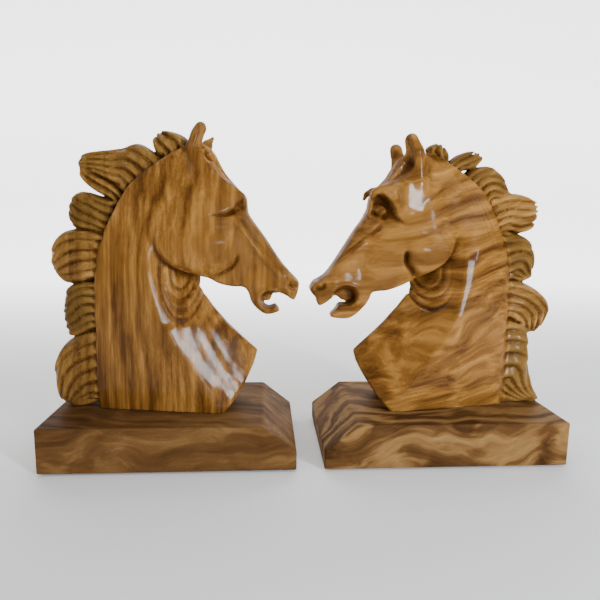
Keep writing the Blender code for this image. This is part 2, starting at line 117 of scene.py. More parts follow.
# ------------------------ mane: upper and lower edge of each lock
LEFT_MANE = [
    dict(up=[(6, 226), (11, 234), (4, 239), (-6, 241), (-12.5, 239.5)],
         low=[(-4, 217), (-9, 221), (-14.5, 226), (-16, 233), (-12.5, 239.5)], half=(10, 9),
         strands=3, notch=2.5),
    dict(up=[(0, 214), (-12, 224), (-22, 230.5), (-28, 231), (-36, 227.5), (-50, 226), (-62, 224.5),
             (-68, 220.5), (-70, 214)],
         low=[(-30, 187), (-37, 196), (-46, 203), (-56, 208), (-64, 210), (-70, 214)],
         half=(10, 9), strands=5),
    dict(up=[(-30, 190), (-38, 198), (-47, 205), (-56, 209.5), (-64, 212), (-70, 213)],
         low=[(-38, 180), (-45, 190), (-52, 193.5), (-58, 196.5), (-64, 201), (-68.5, 206.5), (-70, 213)],
         half=(10, 8.5), strands=2, notch=0.4),
    dict(up=[(-38, 192), (-50, 192.5), (-60, 195.5), (-68, 197.5), (-74.5, 194)],
         low=[(-46, 164), (-60, 167.5), (-70, 168.5), (-76, 172), (-78, 183), (-74.5, 194)],
         half=(9.5, 8.5), strands=5, sway=0.35),
    dict(up=[(-46, 166), (-64, 169), (-76, 169), (-84, 166), (-90, 158), (-93, 147), (-91, 138)],
         low=[(-48, 134), (-62, 132), (-72, 129), (-83, 129.5), (-91, 138)],
         half=(10, 9.5), strands=5, notch=0.8),
    dict(up=[(-50, 134), (-64, 131), (-76, 128.5), (-82, 125), (-85.5, 117), (-86, 108)],
         low=[(-48, 94), (-62, 93), (-72, 90), (-81, 88.5), (-84.5, 97), (-86, 108)],
         half=(9, 8.5), strands=6, sway=0.35),
    dict(up=[(-46, 95), (-60, 95), (-72, 91), (-84, 84), (-91, 74), (-94.5, 60), (-92, 41), (-83, 33.5)],
         low=[(-48, 34), (-60, 36), (-72, 33.5), (-83, 33.5)], half=(10, 9.5), strands=6),
]
RIGHT_MANE = [
    dict(up=[(4, 226), (13, 232), (7, 236.5), (0, 237)],
         low=[(-4, 217), (-6, 223), (-4.5, 231), (0, 237)], half=(9, 8), strands=3, notch=2.5),
    dict(up=[(0, 216), (-8, 226), (-18, 231), (-29, 231.5)],
         low=[(-8, 210), (-16, 216), (-27, 219.5), (-33, 225.5), (-29, 231.5)],
         half=(9, 8), strands=3, notch=3.0),
    dict(up=[(-12, 208), (-22, 217.5), (-34, 220.5), (-44, 217.5), (-51, 209), (-56, 200)],
         low=[(-34, 184), (-42, 190), (-50, 193), (-56, 200)], half=(9.5, 9), strands=6, sway=0.35),
    dict(up=[(-34, 192), (-46, 199), (-58, 201), (-70, 199), (-78, 195), (-80.5, 187)],
         low=[(-44, 168), (-56, 172), (-66, 169.5), (-76, 174), (-80.5, 187)], half=(10.5, 9),
         strands=5, notch=4.0),
    dict(up=[(-44, 172), (-58, 171), (-70, 167.5), (-77.5, 159), (-79.5, 147), (-79, 135)],
         low=[(-48, 132), (-60, 134), (-70, 131.5), (-79, 135)], half=(9.5, 8.5), strands=5, sway=0.35),
    dict(up=[(-48, 134), (-62, 134), (-76, 130), (-88, 123), (-94.5, 114), (-92, 102), (-86, 92),
             (-77, 90.5)],
         low=[(-48, 104), (-60, 104), (-68, 97), (-77, 90.5)], half=(10.5, 9.5), strands=5, notch=2.5),
    dict(up=[(-48, 106), (-62, 103), (-76, 96), (-79.5, 84), (-80.5, 68), (-84, 53), (-93, 37)],
         low=[(-48, 33), (-62, 33.5), (-76, 33), (-93, 33)], half=(9.5, 9), strands=7, sway=0.4),
]
MANE_SQUEEZE = 0.965
LOCK_POINTS = 24
STRAND_EDGE = 0.28

# ------------------------ what the material reads on the vertices
# how far round a vertex a hollow is looked for, and how strongly it gets painted shade and stain
RECESS_REACHES = ((2.6, 2.4), (7.0, 4.0))
FACE_MIDDLE = (45, 160)
FACE_REACH = 48

# ------------------------ what differs between the two horses
# ridge_facet: lean ahead, lean up, depth, middle height, reach; mane_tone: (height, tone); mouth: x, z, two
# radii; eye, temple: x, z, radius, height; jowl, dull_spot: x, z, radius; folds: x, half width, depth, lift;
# temple_cut: height, lean ahead, lean up; brow_bar, ears: points in x, y, z; other lists: lines in x, z
LEFT_HORSE = dict(
    head=LEFT_HEAD, mane=LEFT_MANE, ridge=LEFT_RIDGE, ridge_facet=(-0.31, 0.03, 1.25, 121, 19),
    mane_tone=[(85, 0.6), (98, 1.0), (126, 1.0), (136, 0.5), (164, 0.5), (174, 1.0), (192, 0.9), (204, 0.4),
               (215, 0.7)],
    dull_behind=(-40, -60), dull_spot=(40, 168, 13),
    reach=1.5, turn=0.10, chest=0.0, mane_blend=0.6, nape_round=0.0, combed=0.0, chest_gouges=0.07,
    nose_edge=[(48.2, 182.1), (58.1, 167.4), (74.2, 147.7), (87.4, 131.7)], nose_groove=2.6, nose_shade=0.3,
    mouth=(68.3, 118.6, 6.2, 6.8),
    brow=[(19, 226), (21.5, 220), (27.6, 214.3), (34.3, 207), (42, 200.8), (50, 195)], brow_rise=(1.0, 2.6),
    brow_bar=[(34, 16, 204), (42, 16, 199), (49, 15.5, 194.2)], bar_radii=(2.0, 2.4, 2.2),
    brow_drop=4.4, temple_ridge=[(18, 224), (21.7, 216), (26, 206), (29.5, 197)],
    socket=[(56, 200), (51.5, 197), (43.8, 187.6), (37.5, 182.2), (27, 180.6)],
    socket_deep=7.0, socket_fade=(8, 16),
    socket_floor=[(62, 185), (50, 183), (44, 180.4), (37, 178.7), (27, 178.9), (18, 179.5)],
    eye=(45.0, 184.8, 3.2, 4.2), slit=[(25.5, 180.9), (32, 179.9), (38, 180.3), (43, 182)], slit_deep=1.6,
    temple=(24, 190, 10, 1.0), lid=[(23, 177), (32, 175), (42, 177.3), (50, 181)], lid_rise=0.5,
    crease=[(24, 135), (33, 138), (42.5, 144.5), (46.5, 154)], crease_deep=2.8,
    jowl=(13, 170, 31),
    folds=[(6.5, 15, 34, 3.0), (6, 12.5, 27, 2.4), (5, 9.5, 18.5, 2.2), (4.5, 5.6, 11.5, 1.8)],
    folds_fade=(-40, -30),
    ears=[[(19.5, -12, 206), (18.6, -12.6, 217), (15.9, -13.2, 228), (19.0, -13.8, 237), (21.2, -14, 240.8)],
          [(19, 11, 212), (21, 12, 224), (23, 13, 232.5), (27, 13.5, 238.2)]],
    ear_radii=[(8.5, 6.4, 5.5, 5.2, 4.7), (7, 5.6, 4.9, 1.6)])
RIGHT_HORSE = dict(
    head=RIGHT_HEAD, mane=RIGHT_MANE, ridge=RIGHT_RIDGE, ridge_facet=(-0.075, -0.02, 1.7, 133, 24),
    mane_tone=[(40, 0.8), (90, 0.9), (100, 0.5), (126, 0.5), (136, 0.9), (166, 0.9), (174, 0.4), (196, 0.4),
               (206, 0.8)],
    dull_behind=(15, 8), dull_spot=(5, 158, 9),
    reach=5.5, turn=0.06, chest=2.0, mane_blend=2.5, nape_round=8.0, combed=1.1, chest_gouges=0.0,
    nose_edge=[(43, 179), (46.5, 174), (57.5, 165), (76, 148.5), (87, 136)], nose_groove=3.8, nose_shade=0.75,
    mouth=(67.0, 121.3, 9.5, 7.6),
    brow=[(16, 221), (22, 213.5), (28, 208.5), (38, 204), (47, 200.8), (56, 199)], brow_rise=(2.0, 3.0),
    brow_drop=4.5, temple_ridge=[(12, 226), (11, 218), (10.5, 208), (11, 198)],
    temple_cut=(22.6, 0.106, -0.065),
    socket=[(57, 186), (54.3, 189.5), (52, 193.4), (47.2, 197.8), (40.6, 196.3), (34.7, 189.5), (30.7, 180.6),
            (23.6, 176.5)],
    socket_deep=13.0, socket_fade=(18, 32),
    brow_bar=[(36, 17, 203), (43.5, 17, 201.4), (48.2, 16, 198.4), (50.2, 14.5, 194.5)],
    bar_radii=(2.4, 2.6, 2.4, 1.4),
    socket_floor=[(62, 183), (53.6, 180.8), (42.6, 178.3), (24, 174)],
    eye=(42.5, 186.2, 4.4, 7.0), slit=[(26, 176.5), (42, 179.5), (54, 181.5)], slit_deep=0.6,
    temple=(28, 202, 10, 0.5), lid=[(30, 176), (42, 176.5), (54, 179)], lid_rise=1.2,
    crease=[(16, 138.5), (18.5, 142.5), (22.7, 147.5), (23.8, 157.5)], crease_deep=6.0,
    jowl=(3.5, 165.5, 22.5),
    folds=[(6.5, 16, 26, 3.4), (7.5, 14, 18.5, 3.2), (8, 9, 11, 1.6)], folds_fade=(-12, 6),
    ears=[[(22.5, -12, 206), (22.4, -13, 218), (23.8, -13.5, 228), (26.8, -14, 236)],
          [(27, 11, 212), (30.4, 12, 223), (31.6, 13, 231.4)]],
    ear_radii=[(11.0, 8.8, 7.2, 5.4), (7.5, 6.6, 6.0)])

# ------------------------ woods
# pith: a point on the tree's axis, metres; fibre_turn: degrees; ring and swirl: millimetres; each scale is a
# noise scale per millimetre, and a stretch below 1 draws the noise out along the fibre
GOLDEN = [(0.0, (0.58, 0.33, 0.11)), (0.35, (0.37, 0.175, 0.042)), (0.65, (0.20, 0.085, 0.016)),
          (1.0, (0.075, 0.027, 0.005))]
RUDDY = [(0.0, (0.44, 0.27, 0.12)), (0.35, (0.24, 0.13, 0.045)), (0.65, (0.115, 0.054, 0.018)),
         (1.0, (0.04, 0.017, 0.006))]
MANE_PALE = (1.35, 1.55, 1.95)
MANE_DEEP = (0.62, 0.66, 0.62)
# colour of the painted shade in the carving's hollows, partly lacquer that pools there
SHADE_AND_STAIN = (0.30, 0.21, 0.14)
COAT_IOR = 1.22
LACQUER = dict(roughness=0.30, specular=0.03, coat=0.75, coat_roughness=0.035, hand_marks=0.45, bump=0.5)
SATIN = dict(roughness=0.35, specular=0.008, coat=0.0, coat_roughness=0.12, hand_marks=0.10, bump=0.25)
WOODS = {
    "left_horse": dict(
        pith=(-0.155, 0.045, 0.0), fibre_turn=(0.0, 1.5, 0.0), taper=0.02, swirl=10.0, swirl_scale=0.014,
        swirl_stretch=0.2, ring=9.0, ring_jitter=1.6, ring_contrast=0.30, wide_scale=0.05, wide_contrast=1.5,
        streak_scale=0.30, streak_stretch=0.02, streak_contrast=1.1, hair_contrast=0.6,
        tone=0.60, neck_darker=0.10, colors=GOLDEN, **LACQUER),
    "right_horse": dict(
        pith=(0.06, 0.08, 0.02), fibre_turn=(0.0, 78.0, 0.0), taper=0.22, swirl=46.0, swirl_scale=0.018,
        swirl_stretch=0.6, ring=13.0, ring_jitter=1.2, ring_contrast=0.45, wide_scale=0.05, wide_contrast=0.9,
        streak_scale=0.28, streak_stretch=0.05, streak_contrast=1.0, hair_contrast=0.4,
        tone=0.56, neck_darker=0.14, colors=GOLDEN, **LACQUER),
    "left_base": dict(
        pith=(-0.11, 0.03, -0.02), fibre_turn=(8.0, 88.0, 0.0), taper=0.28, swirl=40.0, swirl_scale=0.015,
        swirl_stretch=0.9, ring=11.0, ring_jitter=1.4, ring_contrast=0.22, wide_scale=0.035,
        wide_contrast=0.9, streak_scale=0.4, streak_stretch=0.05, streak_contrast=0.4, hair_contrast=0.2,
        tone=0.72, neck_darker=0.0, colors=RUDDY, **SATIN),
    "right_base": dict(
        pith=(0.10, 0.05, -0.03), fibre_turn=(-5.0, 84.0, 0.0), taper=0.45, swirl=60.0, swirl_scale=0.017,
        swirl_stretch=0.8, ring=14.0, ring_jitter=1.4, ring_contrast=0.6, wide_scale=0.035, wide_contrast=0.5,
        streak_scale=0.4, streak_stretch=0.06, streak_contrast=0.4, hair_contrast=0.2,
        tone=0.57, neck_darker=0.0, colors=RUDDY, **SATIN),
}

# ------------------------ camera, fitted to the blocks' corners
CAMERA_PLACE = (-0.03289, -0.39533, 0.17593)
CAMERA_PITCH_DOWN = 8.5687
CAMERA_YAW = 3.93
CAMERA_ROLL = 0.8193
CAMERA_LENS = 30.84

# ------------------------ stage and light, metres
BACKDROP_FRONT = 3.0
BACKDROP_BEHIND = 2.5
BACKDROP_BEND = 0.8
BEND_STEPS = 12
BACKDROP_HIGH = 4.0
BACKDROP_WIDE = 4.0
# the floor glows from y = 0 to full strength at 1.2, and is darkest nearer the camera than y = -0.6
FLOOR_GLOW = 2.6
GLOW_FROM_TO = (0.0, 1.2)
SHADE_FROM_TO = (-0.6, -0.2)
SHADE_TONES = (0.35, 0.9)
WORLD_HORIZON = (0.22, 0.22, 0.23)
WORLD_TOP = (0.10, 0.10, 0.11)
WINDOW = (0.88, 0.94, 1.0)
# name, place, target, (width, height), watts, colour
LIGHTS = [
    ("window_right", (0.61, -0.78, 0.36), (-0.08, 0.0, 0.07), (0.09, 0.34), 10.0, WINDOW),
    ("window_front", (0.46, -1.34, 0.14), (0.05, 0.0, 0.12), (0.20, 0.24), 9.0, WINDOW),
    ("room_left", (-1.0, -0.5, 0.75), (0.0, 0.0, 0.12), (0.7, 0.7), 3.0, (1.0, 0.97, 0.93)),
    ("lamp", (-0.1, -0.35, 0.95), (0.0, 0.0, 0.12), (0.30, 0.05), 1.8, (1.0, 0.96, 0.9)),
    ("overhead", (0.0, 0.1, 1.2), (0.0, 0.05, 0.0), (0.5, 0.4), 2.8, (1.0, 1.0, 1.0)),
]


# ------------------------ distances in the side view
def smooth_max(a, b, width):
    blend = np.clip(0.5 + 0.5 * (a - b) / width, 0.0, 1.0)
    return a * blend + b * (1.0 - blend) + width * blend * (1.0 - blend)


def smooth_min(a, b, width):
    return -smooth_max(-a, -b, width)


def smooth_step(value, low, high):
    """0 below low, 1 above high, smooth between; low may be the larger one."""
    t = np.clip((value - low) / (high - low), 0.0, 1.0)
    return t * t * (3.0 - 2.0 * t)


def bell(distance, width):
    return np.exp(-(distance / width) ** 2)


def smooth_curve(points, steps=6, closed=False):
    """Points along a smooth curve through the given points."""
    p = np.array(points, float)
    if closed:
        p = np.vstack([p[-1], p, p[:2]])
    else:
        p = np.vstack([2 * p[0] - p[1], p, 2 * p[-1] - p[-2]])
    out = []
    for a, b, c, d in zip(p[:-3], p[1:-2], p[2:-1], p[3:]):
        for t in np.arange(steps) / steps:
            bend = (2 * a - 5 * b + 4 * c - d) * t * t + (3 * b - a - 3 * c + d) * t ** 3
            out.append(0.5 * (2 * b + (c - a) * t + bend))
    if not closed:
        out.append(p[-2])
    return np.array(out)


def evenly(points, count):
    """The same line with its points evenly spaced."""
    run = np.append(0.0, np.cumsum(np.hypot(*np.diff(points, axis=0).T)))
    at = np.linspace(0.0, run[-1], count)
    return np.stack([np.interp(at, run, points[:, 0]), np.interp(at, run, points[:, 1])], axis=-1)


def line_distance(x, z, points):
    """Distance to a line, the same with a sign (positive on its left), and how far along it, 0 to 1."""
    nearest = np.full(x.shape, np.inf)
    side = np.zeros(x.shape)
    along = np.zeros(x.shape)
    lengths = np.hypot(*np.diff(points, axis=0).T)
    start = 0.0
    for a, b, length in zip(points[:-1], points[1:], lengths):
        step = b - a
        t = np.clip(((x - a[0]) * step[0] + (z - a[1]) * step[1]) / length ** 2, 0.0, 1.0)
        off_x = x - a[0] - t * step[0]
        off_z = z - a[1] - t * step[1]
        distance = np.hypot(off_x, off_z)
        closer = distance < nearest
        nearest = np.where(closer, distance, nearest)
        side = np.where(closer, np.sign(step[0] * off_z - step[1] * off_x), side)
        along = np.where(closer, (start + t * length) / lengths.sum(), along)
        start += length
    return nearest, nearest * side, along


def outline_distance(x, z, points):
    """Distance to a closed outline, negative inside it."""
    loop = np.vstack([points, points[:1]])
    inside = np.zeros(x.shape, bool)
    for a, b in zip(loop[:-1], loop[1:]):
        if a[1] != b[1]:
            crosses = (a[1] > z) != (b[1] > z)
            inside ^= crosses & (x < (b[0] - a[0]) * (z - a[1]) / (b[1] - a[1]) + a[0])
    distance = line_distance(x, z, loop)[0]
    return np.where(inside, -distance, distance)


def curve_distance(x, z, points):
    """The same three for a smooth curve through the points."""
    return line_distance(x, z, smooth_curve(points))


def furrows(phase):
    """1 in the middle of a narrow furrow at each whole number of the phase, 0 halfway between two."""
    return (1.0 - np.abs(np.sin(np.pi * phase))) ** 2


def table(z, pairs):
    """Value at each height, read between (height, value) pairs."""
    heights, values = zip(*pairs)
    return np.interp(z, heights, values)


# ------------------------ parts: outline and half thickness
def neck_shape(x, z, horse):
    """Neck and breast: widest along a ridge, from which both sides fall away to the mane and to the prow."""
    chest = horse["chest"]
    prow_x, prow_z = CHEST[-1]
    foot_z = UNDERCUT[-1][1]
    breast = [(a + chest, b) for a, b in CHEST]
    below = [(a + chest * (b - foot_z) / (prow_z - foot_z), b) for a, b in UNDERCUT]
    outline = np.array([*MANE_ROOT, *NAPE_TO_THROAT, *breast, *below], float)
    ridge = table(z, horse["ridge"])
    widest = table(z, WIDEST)
    prow = table(z, PROW)
    root_x = MANE_ROOT[0][0]
    from_root = np.clip((x - root_x) / (ridge - root_x), 0.0, 1.0)
    behind = MANE_ROOT_HALF + (widest - MANE_ROOT_HALF) * from_root
    before = widest * (prow - x) / np.maximum(prow - ridge, 5.0)
    half = smooth_min(behind, before, 1.0 + 8.0 * smooth_step(z, 150, 180))
    # one flat cut along the ridge
    lean_x, lean_z, cut, middle_z, reach = horse["ridge_facet"]
    facet = widest - cut + lean_x * (x - ridge) + lean_z * (z - middle_z)
    half = smooth_min(half, facet + 3.0 * smooth_step(np.abs(z - middle_z), reach, reach + 9), 0.5)
    # shallow gouge cuts down the breast, which break its highlight into bands
    step_x, step_z = GOUGES_ACROSS
    across = step_x * x + step_z * z
    phase = across / GOUGE_WIDE + 0.25 * np.sin((step_z * x - step_x * z) / 14.0)
    on_breast = smooth_step(x - ridge, 3, 12) * smooth_step(z, 110, 96) * smooth_step(across, 75, 65)
    half = half + horse["chest_gouges"] * np.sin(2.0 * np.pi * phase) * on_breast
    # strands of the mane that start on the neck
    _, root_offset, _ = line_distance(x, z, np.array(MANE_ROOT, float))
    strand = (0.87 * x - 0.5 * z) / 3.4 + 0.5 * np.sin(z / 9.0) + 0.3 * np.sin(x / 4.0)
    near_root = smooth_step(-root_offset, 24, 3) * smooth_step(z, 105, 125)
    half = half - horse["combed"] * furrows(strand) * near_root
    # folds of skin under the jaw, each a plate that overlaps the one outside it
    under_jaw = smooth_step(z, FOLDS_TOP + 9, FOLDS_TOP)
    front = smooth_step(x, *horse["folds_fade"])
    for middle, wide, deep, lift in horse["folds"]:
        across = (x - middle) / wide
        down = np.maximum((FOLDS_TOP - z) / deep, 0.0)
        inside = (1.0 - np.hypot(across, down)) * wide
        plate = smooth_step(inside, -0.5, 0.9) * np.exp(-np.maximum(inside - 0.9, 0.0) / 4.0)
        half = half + (lift * plate - 1.4 * bell(inside + 1.0, 1.0)) * under_jaw * front
    # the back edge is a little uneven
    nicks = 0.5 * np.sin(z / 2.3) * np.sin(z / 6.1) * smooth_step(x, -35, -50)
    return outline_distance(x, z, outline) + nicks, half


def through_stations(x, z):
    """Smooth surface through the stations' half thicknesses."""
    points = np.array(STATIONS, float)
    count = len(points)

    def cone(step_x, step_z):
        return np.sqrt(step_x ** 2 + step_z ** 2 + STATION_SOFTNESS ** 2)

    equations = np.zeros((count + 1, count + 1))
    between = points[:, None, :] - points[None, :, :]
    equations[:count, :count] = cone(between[..., 0], between[..., 1]) - 3.0 * np.eye(count)
    equations[:count, count] = 1.0
    equations[count, :count] = 1.0
    weights = np.linalg.solve(equations, np.append(points[:, 2], 0.0))
    height = np.full(x.shape, weights[count])
    for (station_x, station_z, _), weight in zip(points, weights):
        height = height + weight * cone(x - station_x, z - station_z)
    return height


def eye_relief(x, z, outside, horse):
    """Brow, socket, eyeball and lower lid, as height over the side of the head."""
    _, offset, along = curve_distance(x, z, horse["brow"])
    rise, more = horse["brow_rise"]
    relief = (rise + more * along) * np.where(offset < 0.0, bell(offset, 5.0), bell(offset, 1.6))
    relief = relief - horse["brow_drop"] * smooth_step(offset, 0.2, 3.0) * smooth_step(along, 0.0, 0.12)
    distance, _, along = curve_distance(x, z, horse["temple_ridge"])
    relief = relief + 1.8 * (1.0 - 0.6 * along) * bell(distance, 3.2)
    _, offset, along = curve_distance(x, z, horse["socket"])
    depth = horse["socket_deep"] * np.interp(along, [0, 0.15, 0.6, 0.8, 1.0], [0.7, 1.0, 1.0, 0.45, 0.0])
    hollow = smooth_step(offset, -0.3, 1.4) * (1.0 - smooth_step(offset, *horse["socket_fade"]))
    _, above_floor, _ = curve_distance(x, z, horse["socket_floor"])
    hollow = hollow * smooth_step(-above_floor, -0.5, 4.0) * (0.6 + 0.4 * smooth_step(-outside, 0.8, 4.0))
    relief = relief - depth * hollow
    eye_x, eye_z, radius, height = horse["eye"]
    ball = np.hypot((x - eye_x) / 1.15, z - eye_z) / radius
    relief = relief + height * np.sqrt(np.clip(1.0 - ball ** 2, 0.0, 1.0))
    distance, _, along = curve_distance(x, z, horse["slit"])
    relief = relief - horse["slit_deep"] * bell(distance, 0.9) * smooth_step(along, 0.0, 0.2)
    relief = relief + horse["lid_rise"] * bell(curve_distance(x, z, horse["lid"])[0], 1.8)
    temple_x, temple_z, radius, height = horse["temple"]
    return relief + height * bell(np.hypot(x - temple_x, z - temple_z), radius)


def mouth_relief(x, z, horse):
    """Nostril, lips, and the hollow of the open mouth."""
    relief = 2.6 * bell(np.hypot((x - NOSTRIL_RIM[0]) / 1.2, z - NOSTRIL_RIM[1]), 3.6)
    relief = relief - 3.4 * bell(curve_distance(x, z, NOSTRIL)[0], 1.25)
    mouth_x, mouth_z, radius_x, radius_z = horse["mouth"]
    out = np.hypot((x - mouth_x) / radius_x, (z - mouth_z) / radius_z)
    relief = relief - MOUTH_DEEP * (1.0 - smooth_step(out, 0.72, 1.06))
    corner = smooth_step(x + 1.2 * (mouth_z - z), mouth_x + 9, mouth_x + 2)
    relief = relief + 1.5 * bell((out - 1.22) * radius_x, 1.7) * corner
    relief = relief + 1.3 * bell(curve_distance(x, z, UPPER_LIP)[0], 1.8)
    return relief - 0.9 * bell(curve_distance(x, z, LOWER_LIP)[0] - 2.6, 1.0)


def head_shape(x, z, horse):
    """Head, lips, eye, jowl and forelock, without the ears."""
    outside = outline_distance(x, z, smooth_curve(horse["head"], steps=4, closed=True))
    half = through_stations(x, z) + eye_relief(x, z, outside, horse) + mouth_relief(x, z, horse)
    # facial crest, and the groove that leaves the bar of the nose standing
    distance, _, along = curve_distance(x, z, NOSE_CREST)
    half = half + 2.6 * bell(distance, 2.6) * (1.0 - 0.4 * along)
    _, offset, along = curve_distance(x, z, horse["nose_edge"])
    half = half - NOSE_SLOPE * np.clip(offset, 0.0, 9.0) * smooth_step(along, 0.0, 0.08)
    groove = np.clip(1.15 - 1.3 * along, 0.3, 1.0) * bell(offset + 2.2, 1.5 + 1.2 * (1.0 - along))
    half = half - horse["nose_groove"] * groove
    # jowl: a disc with a clear lower edge, and a crease that cuts in from the front
    jowl_x, jowl_z, radius = horse["jowl"]
    out = np.hypot(x - jowl_x, z - jowl_z)
    half = half + 2.2 * smooth_step(jowl_z + 4 - z, 0, 14) * smooth_step(radius - out, -1.0, 5.0)
    distance, _, along = curve_distance(x, z, horse["crease"])
    fade = 1.0 - smooth_step(along, 0.8, 1.0)
    half = half - horse["crease_deep"] * bell(distance, 2.6 - 1.6 * along) * fade
    half = half - 1.8 * bell(np.hypot(x - CHEEK_HOLLOW[0], z - CHEEK_HOLLOW[1]), 8.0)
    # one clean cut of the gouge over the temple
    if "temple_cut" in horse:
        height, lean_x, lean_z = horse["temple_cut"]
        bend_x, bend_z = TEMPLE_CUT_BENDS
        off_x = x - TEMPLE_CUT_MIDDLE[0]
        off_z = z - TEMPLE_CUT_MIDDLE[1]
        cut = height + lean_x * off_x + lean_z * off_z - bend_x * off_x ** 2 - bend_z * off_z ** 2
        within = smooth_step(x, 8, 13) * smooth_step(x, 32, 26)
        within = within * smooth_step(z, 182, 187) * smooth_step(z, 213, 205)
        half = half + (cut - half) * within
    # strands of the forelock, combed over the forehead towards the brow
    for crest, height in FORELOCK_CRESTS:
        distance, _, along = curve_distance(x, z, crest)
        half = half + height * bell(distance, 1.3) * (1.0 - smooth_step(along, 0.8, 1.0))
    return outside, half


def lock_edge(points):
    """Smooth edge of a lock, with what stands behind the mane's root drawn in a little."""
    root_x = MANE_ROOT[0][0]
    drawn = [(x if x > root_x else root_x + (x - root_x) * MANE_SQUEEZE, z) for x, z in points]
    return evenly(smooth_curve(drawn), LOCK_POINTS)


def lock_shape(x, z, up, low, half, strands, sway=0.0, notch=1.2):
    """One lock of the mane: strands that run from root to tip, each with a steep edge over the next one."""
    upper = lock_edge(up)
    lower = lock_edge(low)
    outside = outline_distance(x, z, np.vstack([upper, lower[::-1][1:]]))
    middle = 0.5 * (upper + lower)
    width = 0.5 * np.hypot(*(upper - lower).T)
    _, offset, along = line_distance(x, z, middle)
    run = np.append(0.0, np.cumsum(np.hypot(*np.diff(middle, axis=0).T)))
    half_width = np.interp(along, run / run[-1], width)
    across = np.clip(-offset / np.maximum(half_width, 1.0), -1.2, 1.2)
    bend = np.sin(6.5 * along + 0.8 * strands) + 0.3 * np.sin(4.0 * across)
    wave = 0.5 * (1.0 - across) * strands + sway * bend
    place = wave - np.floor(wave)
    ridge = np.minimum(place / (1.0 - STRAND_EDGE), (1.0 - place) / STRAND_EDGE)
    outside = outside + notch * (1.0 - ridge) ** 3 * smooth_step(along, 0.3, 0.9)
    crown = np.sqrt(1.0 - (1.0 - np.clip(-outside / 10.0, 0.0, 1.0)) ** 2)
    off_crest = 0.85 - 0.85 * ridge
    plate = 0.5 * (1.0 - np.sqrt(1.0 - off_crest ** 2)) + 0.5 * off_crest
    height = half[0] + (half[1] - half[0]) * along + 2.2 * np.sin(np.pi * along)
    height = height * (0.55 + 0.45 * crown) - (2.4 + 15.0 / strands) * plate
    return outside, height


def cone_chain(point, centres, radii, squash=None):
    """Distance to a chain of round cones; squash = (direction, factor) thins it in that direction."""
    nearest = np.inf
    for start, end, radius, end_radius in zip(centres[:-1], centres[1:], radii[:-1], radii[1:]):
        step = end - start
        off = [value - start[i] for i, value in enumerate(point)]
        t = np.clip((off[0] * step[0] + off[1] * step[1] + off[2] * step[2]) / (step @ step), 0.0, 1.0)
        off = [off[i] - t * step[i] for i in range(3)]
        square = off[0] ** 2 + off[1] ** 2 + off[2] ** 2
        if squash:
            direction, factor = squash
            side = off[0] * direction[0] + off[1] * direction[1]
            square = square + side ** 2 * (factor ** 2 - 1.0)
        nearest = np.minimum(nearest, np.sqrt(square) - radius - (end_radius - radius) * t)
    return nearest


def ear_distance(point, centres, radii, side):
    """Ear with a hollow that opens forward and a little to its own side (-1 near, 1 far)."""
    centres = [np.array(centre, float) for centre in centres]
    opens = np.array([0.90, 0.42 * side, 0.0])
    body = cone_chain(point, centres, radii, (opens, 1.1))
    inner = [centre + opens * (radius + 0.6) for centre, radius in zip(centres, radii)]
    shares = np.interp(np.linspace(0.0, 1.0, len(radii)), (0.0, 0.5, 1.0), (0.4, 0.8, 0.65))
    hollow = cone_chain(point, inner, np.array(radii) * shares)
    return smooth_max(body, -hollow, 0.8)


# ------------------------ the carving
def soften(volume):
    """Average with the neighbours, so that steps of the grid don't show on steep edges."""
    for axis in range(3):
        inner = [slice(None)] * 3
        before = [slice(None)] * 3
        after = [slice(None)] * 3
        inner[axis] = slice(1, -1)
        before[axis] = slice(None, -2)
        after[axis] = slice(2, None)
        mixed = volume.copy()
        beside = volume[tuple(before)] + volume[tuple(after)]
        mixed[tuple(inner)] = 0.6 * volume[tuple(inner)] + 0.2 * beside
        volume = mixed
    return volume


